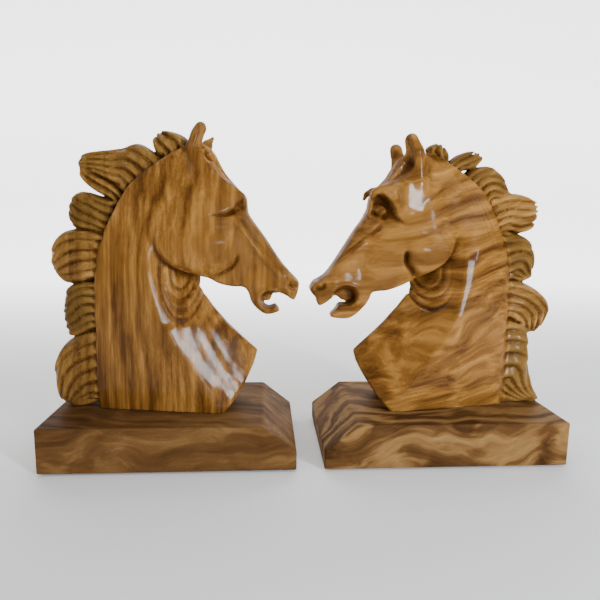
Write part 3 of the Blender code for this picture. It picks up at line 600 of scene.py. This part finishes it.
def carving_volume(horse, foot, step):
    """Signed distance to the whole carving on a grid, and the grid's lowest corner."""
    low = np.array([*GRID_LOW, foot - BELOW_FOOT])
    high = np.array(GRID_HIGH)
    count = np.ceil((high - low) / step).astype(int)
    axis_x, axis_y, axis_z = (low[i] + step * np.arange(count[i]) for i in range(3))
    x, z = np.meshgrid(axis_x, axis_z, indexing="ij")
    y = axis_y[None, :, None]

    def slab(shape, centre, round_over):
        outside, half = shape
        side = np.abs(y - centre[:, None, :]) - half[:, None, :]
        return smooth_max(outside[:, None, :] + 0.0 * y, side, round_over).astype(np.float32)

    upright = np.zeros(x.shape)
    volume = np.full(count, 50.0, np.float32)
    edge = np.full(x.shape, 50.0)
    for lock in horse["mane"]:
        outside, half = lock_shape(x, z, **lock)
        volume = np.minimum(volume, slab((outside, half), upright, 4.0))
        edge = np.minimum(edge, outside)
    # strands that run on over the mane's outer edge
    strand = y / 4.4 + 0.35 * np.sin(x / 7.0 + z / 9.0)[:, None, :]
    grooves = furrows(strand) * smooth_step(edge, -6.0, -1.5)[:, None, :]
    volume = (volume + 1.1 * grooves).astype(np.float32)
    nape = (1.6 + horse["nape_round"] * smooth_step(x, -20, -50))[:, None, :]
    volume = smooth_min(volume, slab(neck_shape(x, z, horse), upright, nape), horse["mane_blend"])
    head_x = x - horse["reach"]
    swing = -np.clip(x - 5.0, 0.0, None) * horse["turn"]
    round_over = (3.0 + 2.5 * smooth_step(z, 128, 150))[:, None, :]
    outside, half = head_shape(head_x, z, horse)
    head = slab((outside, half), swing, round_over)
    # strands of the forelock over the top of the head
    combed = furrows(y / 5.0 + 0.5 * np.sin(x / 6.0)[:, None, :])
    crown = smooth_step(outside, -9, -3) * smooth_step(z, 194, 200) * smooth_step(head_x, 10, 18)
    head = head + 1.8 * crown[:, None, :] * combed
    join = (1.4 + 6.0 * smooth_step(z, 158, 176) * smooth_step(x, 12, -2))[:, None, :]
    volume = smooth_min(volume, head, join).astype(np.float32)
    above = int((EARS_ABOVE - low[2]) / step)
    point = (axis_x[:, None, None], y, axis_z[None, None, above:])
    top = volume[:, :, above:]
    for centres, radii, side in zip(horse["ears"], horse["ear_radii"], (-1, 1)):
        top = smooth_min(top, ear_distance(point, centres, radii, side), 2.5)
        bar = [np.array((ahead + horse["reach"], side * out - horse["turn"] * ahead, up))
               for ahead, out, up in horse["brow_bar"]]
        top = smooth_min(top, cone_chain(point, bar, horse["bar_radii"]), 1.6)
    volume[:, :, above:] = top
    volume = soften(volume)
    return np.maximum(volume, (foot - axis_z)[None, None, :]).astype(np.float32), low


def box_mean(volume, cells):
    """Mean over a cube that reaches the given count of cells each way."""
    for axis in range(3):
        padding = [(0, 0)] * 3
        padding[axis] = (cells + 1, cells)
        total = np.cumsum(np.pad(volume, padding, mode="edge"), axis=axis, dtype=np.float32)
        wide = 2 * cells + 1
        count = volume.shape[axis]
        volume = (total.take(range(wide, wide + count), axis) - total.take(range(count), axis)) / wide
    return volume


def store(mesh, name, values):
    """Write an attribute, 0 to 1, on the vertices for the material to read."""
    layer = mesh.attributes.new(name, "FLOAT", "POINT")
    layer.data.foreach_set("value", np.clip(values, 0.0, 1.0).astype(np.float32))


def store_shade_and_stain(mesh, points, volume, low, step, horse):
    """Write how much painted shade each vertex gets: in hollows, partly pooled lacquer, on the eye and nose.
    """
    cells = np.rint((points - low) / step).astype(int)
    cells = np.clip(cells, 0, np.array(volume.shape) - 1).T
    eye_x, eye_z, radius, _ = horse["eye"]
    # painted shade over the eye in its socket
    shade_and_stain = 0.6 * bell(np.hypot(points[:, 0] - horse["reach"] - eye_x, points[:, 2] - eye_z), radius + 1.5)
    # painted shade, partly pooled lacquer, where the surface lies below its surroundings
    for reach, gain in RECESS_REACHES:
        near = np.clip(volume, -reach, reach)
        hollow = (near - box_mean(near, max(int(round(reach / step)), 1)))[tuple(cells)] / reach
        shade_and_stain = shade_and_stain + np.clip((hollow - 0.04) * gain, 0.0, 1.0)
    # painted shade in the groove of the nose and on the bar in front of it
    distance, offset, along = curve_distance(points[:, 0] - horse["reach"], points[:, 2], horse["nose_edge"])
    near = smooth_step(distance, 10.0, 7.0) * smooth_step(along, 0.0, 0.08)
    painted_nose_shade = bell(offset + 2.0, 1.3) + 0.45 * smooth_step(offset, -1.0, 1.0)
    shade_and_stain = shade_and_stain + horse["nose_shade"] * near * painted_nose_shade
    store(mesh, "shade_and_stain", shade_and_stain)


def store_tones(mesh, points, horse):
    """Write where the mane and the face are, and where the coat is dull: mane, edges, stray highlights."""
    x, z = points[:, 0], points[:, 2]
    _, behind_root, _ = line_distance(x, z, np.array(MANE_ROOT, float))
    in_mane = smooth_step(behind_root, -1.0, 3.0)
    store(mesh, "mane", in_mane * table(z, horse["mane_tone"]))
    store(mesh, "face", bell(np.hypot(x - FACE_MIDDLE[0], z - FACE_MIDDLE[1]), FACE_REACH))
    spot_x, spot_z, radius = horse["dull_spot"]
    dull = smooth_step(x, *horse["dull_behind"]) * smooth_step(z, 150, 162) + 0.5 * in_mane
    normals = np.zeros(points.size)
    mesh.vertex_normals.foreach_get("vector", normals)
    dull = dull + smooth_step(np.abs(normals[1::3]), 0.5, 0.2)
    store(mesh, "dull", dull + bell(np.hypot(x - spot_x, z - spot_z), radius))


def make_carving(name, node, horse, body, material):
    """Carved horse in place of a CAD node. The one that looks along -x is turned round by mirroring its x."""
    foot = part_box(node)[0].z / MM
    base_low, base_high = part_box(node.replace("horse", "base"))
    middle_x = 0.5 * (base_low.x + base_high.x)
    facing = 1.0 if middle_x < 0.0 else -1.0
    step = FINE_STEP
    volume, low = carving_volume(horse, foot, step)
    grid = openvdb.FloatGrid(background=10.0)
    grid.copyFromArray(np.ascontiguousarray(volume))
    points, quads = grid.convertToQuads(isovalue=0.0)
    points = (points * step + low) * MM
    points[:, 0] = middle_x + facing * points[:, 0]
    if facing > 0:
        quads = quads[:, ::-1]
    mesh = bpy.data.meshes.new(name)
    mesh.from_pydata(points.tolist(), [], quads.tolist())
    mesh.shade_smooth()
    carving = bpy.data.objects.new(name, mesh)
    bpy.context.scene.collection.objects.link(carving)
    mesh.materials.append(material)
    if 2 * len(quads) > MOST_TRIANGLES:
        apply_decimate(carving, MOST_TRIANGLES / (2 * len(quads)))
    points = np.zeros(3 * len(carving.data.vertices))
    carving.data.vertices.foreach_get("co", points)
    points = points.reshape(-1, 3) / MM
    points[:, 0] = facing * (points[:, 0] - middle_x / MM)
    store_shade_and_stain(carving.data, points, volume, low, step, horse)
    store_tones(carving.data, points, horse)
    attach(carving, body)
    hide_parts(node)


def apply_decimate(thing, ratio):
    """Thin an object's mesh to a share of its faces."""
    modifier = thing.modifiers.new("fewer faces", "DECIMATE")
    modifier.ratio = ratio
    graph = bpy.context.evaluated_depsgraph_get()
    thinned = bpy.data.meshes.new_from_object(thing.evaluated_get(graph))
    thing.modifiers.clear()
    thing.data = thinned


# ------------------------ materials
class Nodes:
    """Short calls for making a material's nodes."""

    def __init__(self, name):
        self.material = bpy.data.materials.new(name)
        self.material.use_nodes = True
        self.tree = self.material.node_tree
        self.shader = self.tree.nodes["Principled BSDF"]

    def node(self, kind, **settings):
        made = self.tree.nodes.new(kind)
        for key, value in settings.items():
            setattr(made, key, value)
        return made

    def link(self, source, target):
        self.tree.links.new(source, target)

    def put(self, value, socket):
        """Link a socket, or set a plain value."""
        if isinstance(value, bpy.types.NodeSocket):
            self.link(value, socket)
        else:
            socket.default_value = value

    def math(self, operation, first, second=0.0, third=0.0, clamp=False):
        made = self.node("ShaderNodeMath", operation=operation, use_clamp=clamp)
        for value, socket in zip((first, second, third), made.inputs):
            self.put(value, socket)
        return made.outputs[0]

    def vector(self, operation, first, second=(0.0, 0.0, 0.0)):
        made = self.node("ShaderNodeVectorMath", operation=operation)
        self.put(first, made.inputs[0])
        self.put(second, made.inputs[1])
        return made.outputs[1] if operation == "LENGTH" else made.outputs[0]

    def noise(self, place, scale, detail, roughness, stretch=(1.0, 1.0, 1.0), color=False):
        made = self.node("ShaderNodeTexNoise")
        self.link(self.vector("MULTIPLY", place, stretch), made.inputs["Vector"])
        made.inputs["Scale"].default_value = scale
        made.inputs["Detail"].default_value = detail
        made.inputs["Roughness"].default_value = roughness
        return made.outputs["Color" if color else "Fac"]

    def attribute(self, name):
        """Value of a vertex attribute, 0 on a mesh that lacks it."""
        return self.node("ShaderNodeAttribute", attribute_name=name).outputs["Fac"]

    def bump(self, height, strength, distance):
        """Relief on the shader's normal."""
        made = self.node("ShaderNodeBump")
        made.inputs["Strength"].default_value = strength
        made.inputs["Distance"].default_value = distance
        self.link(height, made.inputs["Height"])
        self.link(made.outputs[0], self.shader.inputs["Normal"])
        return made.outputs[0]

    def ramp(self, value, stops):
        """Colour or grey value read between (position, value) stops."""
        made = self.node("ShaderNodeValToRGB")
        elements = made.color_ramp.elements
        while len(elements) < len(stops):
            elements.new(0.5)
        for element, (position, color) in zip(elements, stops):
            element.position = position
            element.color = (*color, 1.0) if isinstance(color, tuple) else (color, color, color, 1.0)
        self.link(value, made.inputs[0])
        return made.outputs[0]

    def tint(self, amount, color, factors):
        """Colour multiplied by red, green and blue factors, by an amount of 0 to 1."""
        made = self.node("ShaderNodeMix", data_type="RGBA", blend_type="MULTIPLY")
        self.link(amount, made.inputs[0])
        self.link(color, made.inputs[6])
        made.inputs[7].default_value = (*factors, 1.0)
        return made.outputs[2]


def wood_material(name, look):
    """Lacquered figured wood: growth rings round the fibre axis, bent by swirls and crossed by streaks."""
    n = Nodes(name)
    place = n.node("ShaderNodeTexCoord").outputs["Object"]
    mapping = n.node("ShaderNodeMapping", vector_type="TEXTURE")
    n.link(place, mapping.inputs["Vector"])
    mapping.inputs["Location"].default_value = look["pith"]
    mapping.inputs["Rotation"].default_value = [math.radians(angle) for angle in look["fibre_turn"]]
    mapping.inputs["Scale"].default_value = (MM, MM, MM)
    fibre = mapping.outputs[0]
    swirl = n.noise(fibre, look["swirl_scale"], 2.0, 0.5, (1.0, 1.0, look["swirl_stretch"]), color=True)
    swirl = n.vector("MULTIPLY", n.vector("SUBTRACT", swirl, (0.5, 0.5, 0.5)), (look["swirl"],) * 3)
    bent = n.vector("ADD", fibre, swirl)
    radius = n.vector("LENGTH", n.vector("MULTIPLY", bent, (1.0, 1.0, look["taper"])))
    jitter = n.noise(bent, 0.09, 3.0, 0.6, (1.0, 1.0, 0.08))
    jitter = n.math("MULTIPLY", jitter, look["ring_jitter"])
    ring = n.math("ADD", n.math("DIVIDE", radius, look["ring"]), jitter)
    ring = n.math("SINE", n.math("MULTIPLY", ring, 2.0 * math.pi))
    ring = n.math("MULTIPLY", ring, 0.5 * look["ring_contrast"])
    wide = n.noise(n.vector("ADD", bent, (31.0, 7.0, 0.0)), look["wide_scale"], 3.0, 0.6, (1.0, 1.0, 0.2))
    streak = n.noise(bent, look["streak_scale"], 3.0, 0.6, (1.0, 1.0, look["streak_stretch"]))
    hair = n.noise(fibre, 2.4, 3.0, 0.6, (1.0, 1.0, 0.03))
    face = n.attribute("face")
    mane = n.attribute("mane")
    calm = n.math("MULTIPLY_ADD", face, -0.55, 1.0)
    calm = n.math("MULTIPLY_ADD", mane, -0.6, calm)
    tone = n.math("MULTIPLY_ADD", wide, look["wide_contrast"], -0.5 * look["wide_contrast"])
    tone = n.math("ADD", tone, n.math("MULTIPLY", ring, n.ramp(wide, [(0.35, 0.4), (0.62, 1.0)])))
    tone = n.math("ADD", tone, n.math("MULTIPLY", n.math("SUBTRACT", streak, 0.5), look["streak_contrast"]))
    tone = n.math("MULTIPLY_ADD", n.math("SUBTRACT", hair, 0.5), look["hair_contrast"], tone)
    tone = n.math("MULTIPLY_ADD", tone, calm, look["tone"])
    tone = n.math("MULTIPLY_ADD", n.math("SUBTRACT", 1.0, face), look["neck_darker"], tone, clamp=True)
    # the mane is paler where its tone is low and darker where it is high
    color = n.ramp(tone, look["colors"])
    shade_and_stain = n.attribute("shade_and_stain")
    color = n.tint(n.ramp(mane, [(0.0, 0.0), (0.3, 1.0)]), color, MANE_PALE)
    color = n.tint(n.ramp(mane, [(0.4, 0.0), (1.0, 1.0)]), color, MANE_DEEP)
    # painted shade in hollows, on the eye and by the nose; in hollows partly lacquer that pools there
    color = n.tint(n.math("MULTIPLY", shade_and_stain, 0.9), color, SHADE_AND_STAIN)
    n.link(color, n.shader.inputs["Base Color"])
    rough = n.math("MULTIPLY_ADD", streak, 0.16, look["roughness"])
    n.link(n.math("MULTIPLY_ADD", shade_and_stain, 0.2, rough), n.shader.inputs["Roughness"])
    n.shader.inputs["Specular IOR Level"].default_value = look["specular"]
    dull = n.attribute("dull")
    n.link(n.math("MULTIPLY_ADD", dull, -0.98 * look["coat"], look["coat"]), n.shader.inputs["Coat Weight"])
    n.shader.inputs["Coat Roughness"].default_value = look["coat_roughness"]
    n.shader.inputs["Coat IOR"].default_value = COAT_IOR
    hand = n.noise(place, 110.0, 1.0, 0.4, (1.0, 1.0, 0.6))
    relief = n.math("ADD", n.math("MULTIPLY", hand, look["hand_marks"]), n.math("MULTIPLY", hair, 0.05))
    n.link(n.bump(relief, look["bump"], 0.0012), n.shader.inputs["Coat Normal"])
    return n.material


def steel_material():
    """Bright zinc plating with fine turning marks."""
    n = Nodes("screw_steel_look")
    place = n.node("ShaderNodeTexCoord").outputs["Object"]
    marks = n.noise(place, 900.0, 3.0, 0.6, (1.0, 1.0, 6.0))
    color = n.ramp(marks, [(0.3, (0.50, 0.50, 0.52)), (0.7, (0.68, 0.68, 0.70))])
    n.link(color, n.shader.inputs["Base Color"])
    n.link(n.math("MULTIPLY_ADD", marks, 0.25, 0.22), n.shader.inputs["Roughness"])
    n.shader.inputs["Metallic"].default_value = 1.0
    n.bump(marks, 0.15, 0.0003)
    return n.material


def felt_material():
    """Pressed dark green felt: tangled fibres with a soft sheen."""
    n = Nodes("felt_look")
    place = n.node("ShaderNodeTexCoord").outputs["Object"]
    tangle = n.noise(place, 700.0, 6.0, 0.75)
    clump = n.noise(place, 120.0, 3.0, 0.6)
    color = n.ramp(tangle, [(0.30, (0.012, 0.03, 0.016)), (0.72, (0.05, 0.10, 0.055))])
    color = n.tint(n.math("MULTIPLY", clump, 0.4), color, (0.55, 0.6, 0.5))
    n.link(color, n.shader.inputs["Base Color"])
    n.shader.inputs["Roughness"].default_value = 0.95
    n.shader.inputs["Sheen Weight"].default_value = 0.5
    n.shader.inputs["Sheen Roughness"].default_value = 0.5
    n.bump(tangle, 0.6, 0.0004)
    return n.material


def dress(node, material):
    """Give a CAD node that stays visible its finish."""
    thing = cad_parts[node]
    thing.data.materials.clear()
    thing.data.materials.append(material)


# ------------------------ stage, light, camera
def floor_material():
    """Matt white paper that glows softly behind the object and not in front of it."""
    n = Nodes("floor_white")
    n.shader.inputs["Roughness"].default_value = 0.9
    n.shader.inputs["Specular IOR Level"].default_value = 0.1
    split = n.node("ShaderNodeSeparateXYZ")
    n.link(n.node("ShaderNodeTexCoord").outputs["Object"], split.inputs[0])
    behind = n.node("ShaderNodeMapRange", interpolation_type="SMOOTHSTEP")
    n.link(split.outputs["Y"], behind.inputs[0])
    for value, socket in zip((*GLOW_FROM_TO, 0.0, FLOOR_GLOW), behind.inputs[1:5]):
        socket.default_value = value
    n.shader.inputs["Emission Color"].default_value = (1.0, 1.0, 1.0, 1.0)
    n.link(behind.outputs[0], n.shader.inputs["Emission Strength"])
    shade = n.node("ShaderNodeMapRange", interpolation_type="SMOOTHSTEP")
    n.link(split.outputs["Y"], shade.inputs[0])
    for value, socket in zip((*SHADE_FROM_TO, *SHADE_TONES), shade.inputs[1:5]):
        socket.default_value = value
    n.link(shade.outputs[0], n.shader.inputs["Base Color"])
    return n.material


def make_floor():
    """White floor that curves up into a backdrop well behind the object."""
    bm = bmesh.new()
    profile = [(-BACKDROP_FRONT, 0.0), (BACKDROP_BEHIND - BACKDROP_BEND, 0.0)]
    for step in range(1, BEND_STEPS + 1):
        angle = math.radians(90.0 * step / BEND_STEPS)
        y = BACKDROP_BEHIND - BACKDROP_BEND * (1.0 - math.sin(angle))
        profile.append((y, BACKDROP_BEND * (1.0 - math.cos(angle))))
    profile.append((BACKDROP_BEHIND, BACKDROP_HIGH))
    rows = [[bm.verts.new((x, y, z)) for x in (-BACKDROP_WIDE, BACKDROP_WIDE)] for y, z in profile]
    for (a, b), (c, d) in zip(rows[:-1], rows[1:]):
        bm.faces.new((a, b, d, c))
    mesh = bpy.data.meshes.new("floor")
    bm.to_mesh(mesh)
    bm.free()
    mesh.shade_smooth()
    floor = bpy.data.objects.new("floor", mesh)
    bpy.context.scene.collection.objects.link(floor)
    mesh.materials.append(floor_material())


def make_world():
    """Dim overhead and brighter towards the horizon, like a room lit from its windows."""
    world = bpy.data.worlds.new("studio")
    bpy.context.scene.world = world
    world.use_nodes = True
    tree = world.node_tree
    direction = tree.nodes.new("ShaderNodeTexCoord")
    split = tree.nodes.new("ShaderNodeSeparateXYZ")
    ramp = tree.nodes.new("ShaderNodeValToRGB")
    tree.links.new(direction.outputs["Generated"], split.inputs[0])
    tree.links.new(split.outputs["Z"], ramp.inputs[0])
    ramp.color_ramp.elements[0].position = 0.0
    ramp.color_ramp.elements[0].color = (*WORLD_HORIZON, 1.0)
    ramp.color_ramp.elements[1].position = 0.7
    ramp.color_ramp.elements[1].color = (*WORLD_TOP, 1.0)
    background = tree.nodes["Background"]
    tree.links.new(ramp.outputs[0], background.inputs["Color"])
    background.inputs["Strength"].default_value = 1.0


def area_light(name, place, target, size, power, color):
    light = bpy.data.lights.new(name, "AREA")
    light.shape = "RECTANGLE"
    light.size, light.size_y = size
    light.energy = power
    light.color = color
    thing = bpy.data.objects.new(name, light)
    bpy.context.scene.collection.objects.link(thing)
    thing.location = place
    thing.rotation_euler = (Vector(target) - Vector(place)).to_track_quat("-Z", "Y").to_euler()


def make_camera():
    """Camera at the photo's viewing angle."""
    pitch = math.radians(CAMERA_PITCH_DOWN)
    yaw = math.radians(CAMERA_YAW)
    roll = math.radians(CAMERA_ROLL)
    forward = Vector((math.sin(yaw) * math.cos(pitch), math.cos(yaw) * math.cos(pitch), -math.sin(pitch)))
    level = Vector((math.cos(yaw), -math.sin(yaw), 0.0))
    up = level.cross(forward)
    right = math.cos(roll) * level + math.sin(roll) * up
    top = -math.sin(roll) * level + math.cos(roll) * up
    camera = bpy.data.cameras.new("camera")
    camera.lens = CAMERA_LENS
    camera.sensor_width = 36.0
    thing = bpy.data.objects.new("camera", camera)
    bpy.context.scene.collection.objects.link(thing)
    turn = Matrix((right, top, -forward)).transposed().to_4x4()
    thing.matrix_world = Matrix.Translation(CAMERA_PLACE) @ turn
    bpy.context.scene.camera = thing


# ------------------------ build
def main():
    steel = steel_material()
    felt = felt_material()
    for word, horse in (("left", LEFT_HORSE), ("right", RIGHT_HORSE)):
        body = word + "_book_end"
        carved = wood_material(word + "_horse_wood_look", WOODS[word + "_horse"])
        block = wood_material(word + "_base_wood_look", WOODS[word + "_base"])
        make_carving(word + "_carved_horse", word + "_horse", horse, body, carved)
        dress(word + "_base", block)
        for number in (1, 2):
            dress(f"{word}_screw_{number}", steel)
        for number in (1, 2, 3, 4):
            dress(f"{word}_felt_pad_{number}", felt)
    make_floor()
    make_world()
    for light in LIGHTS:
        area_light(*light)
    make_camera()


main()
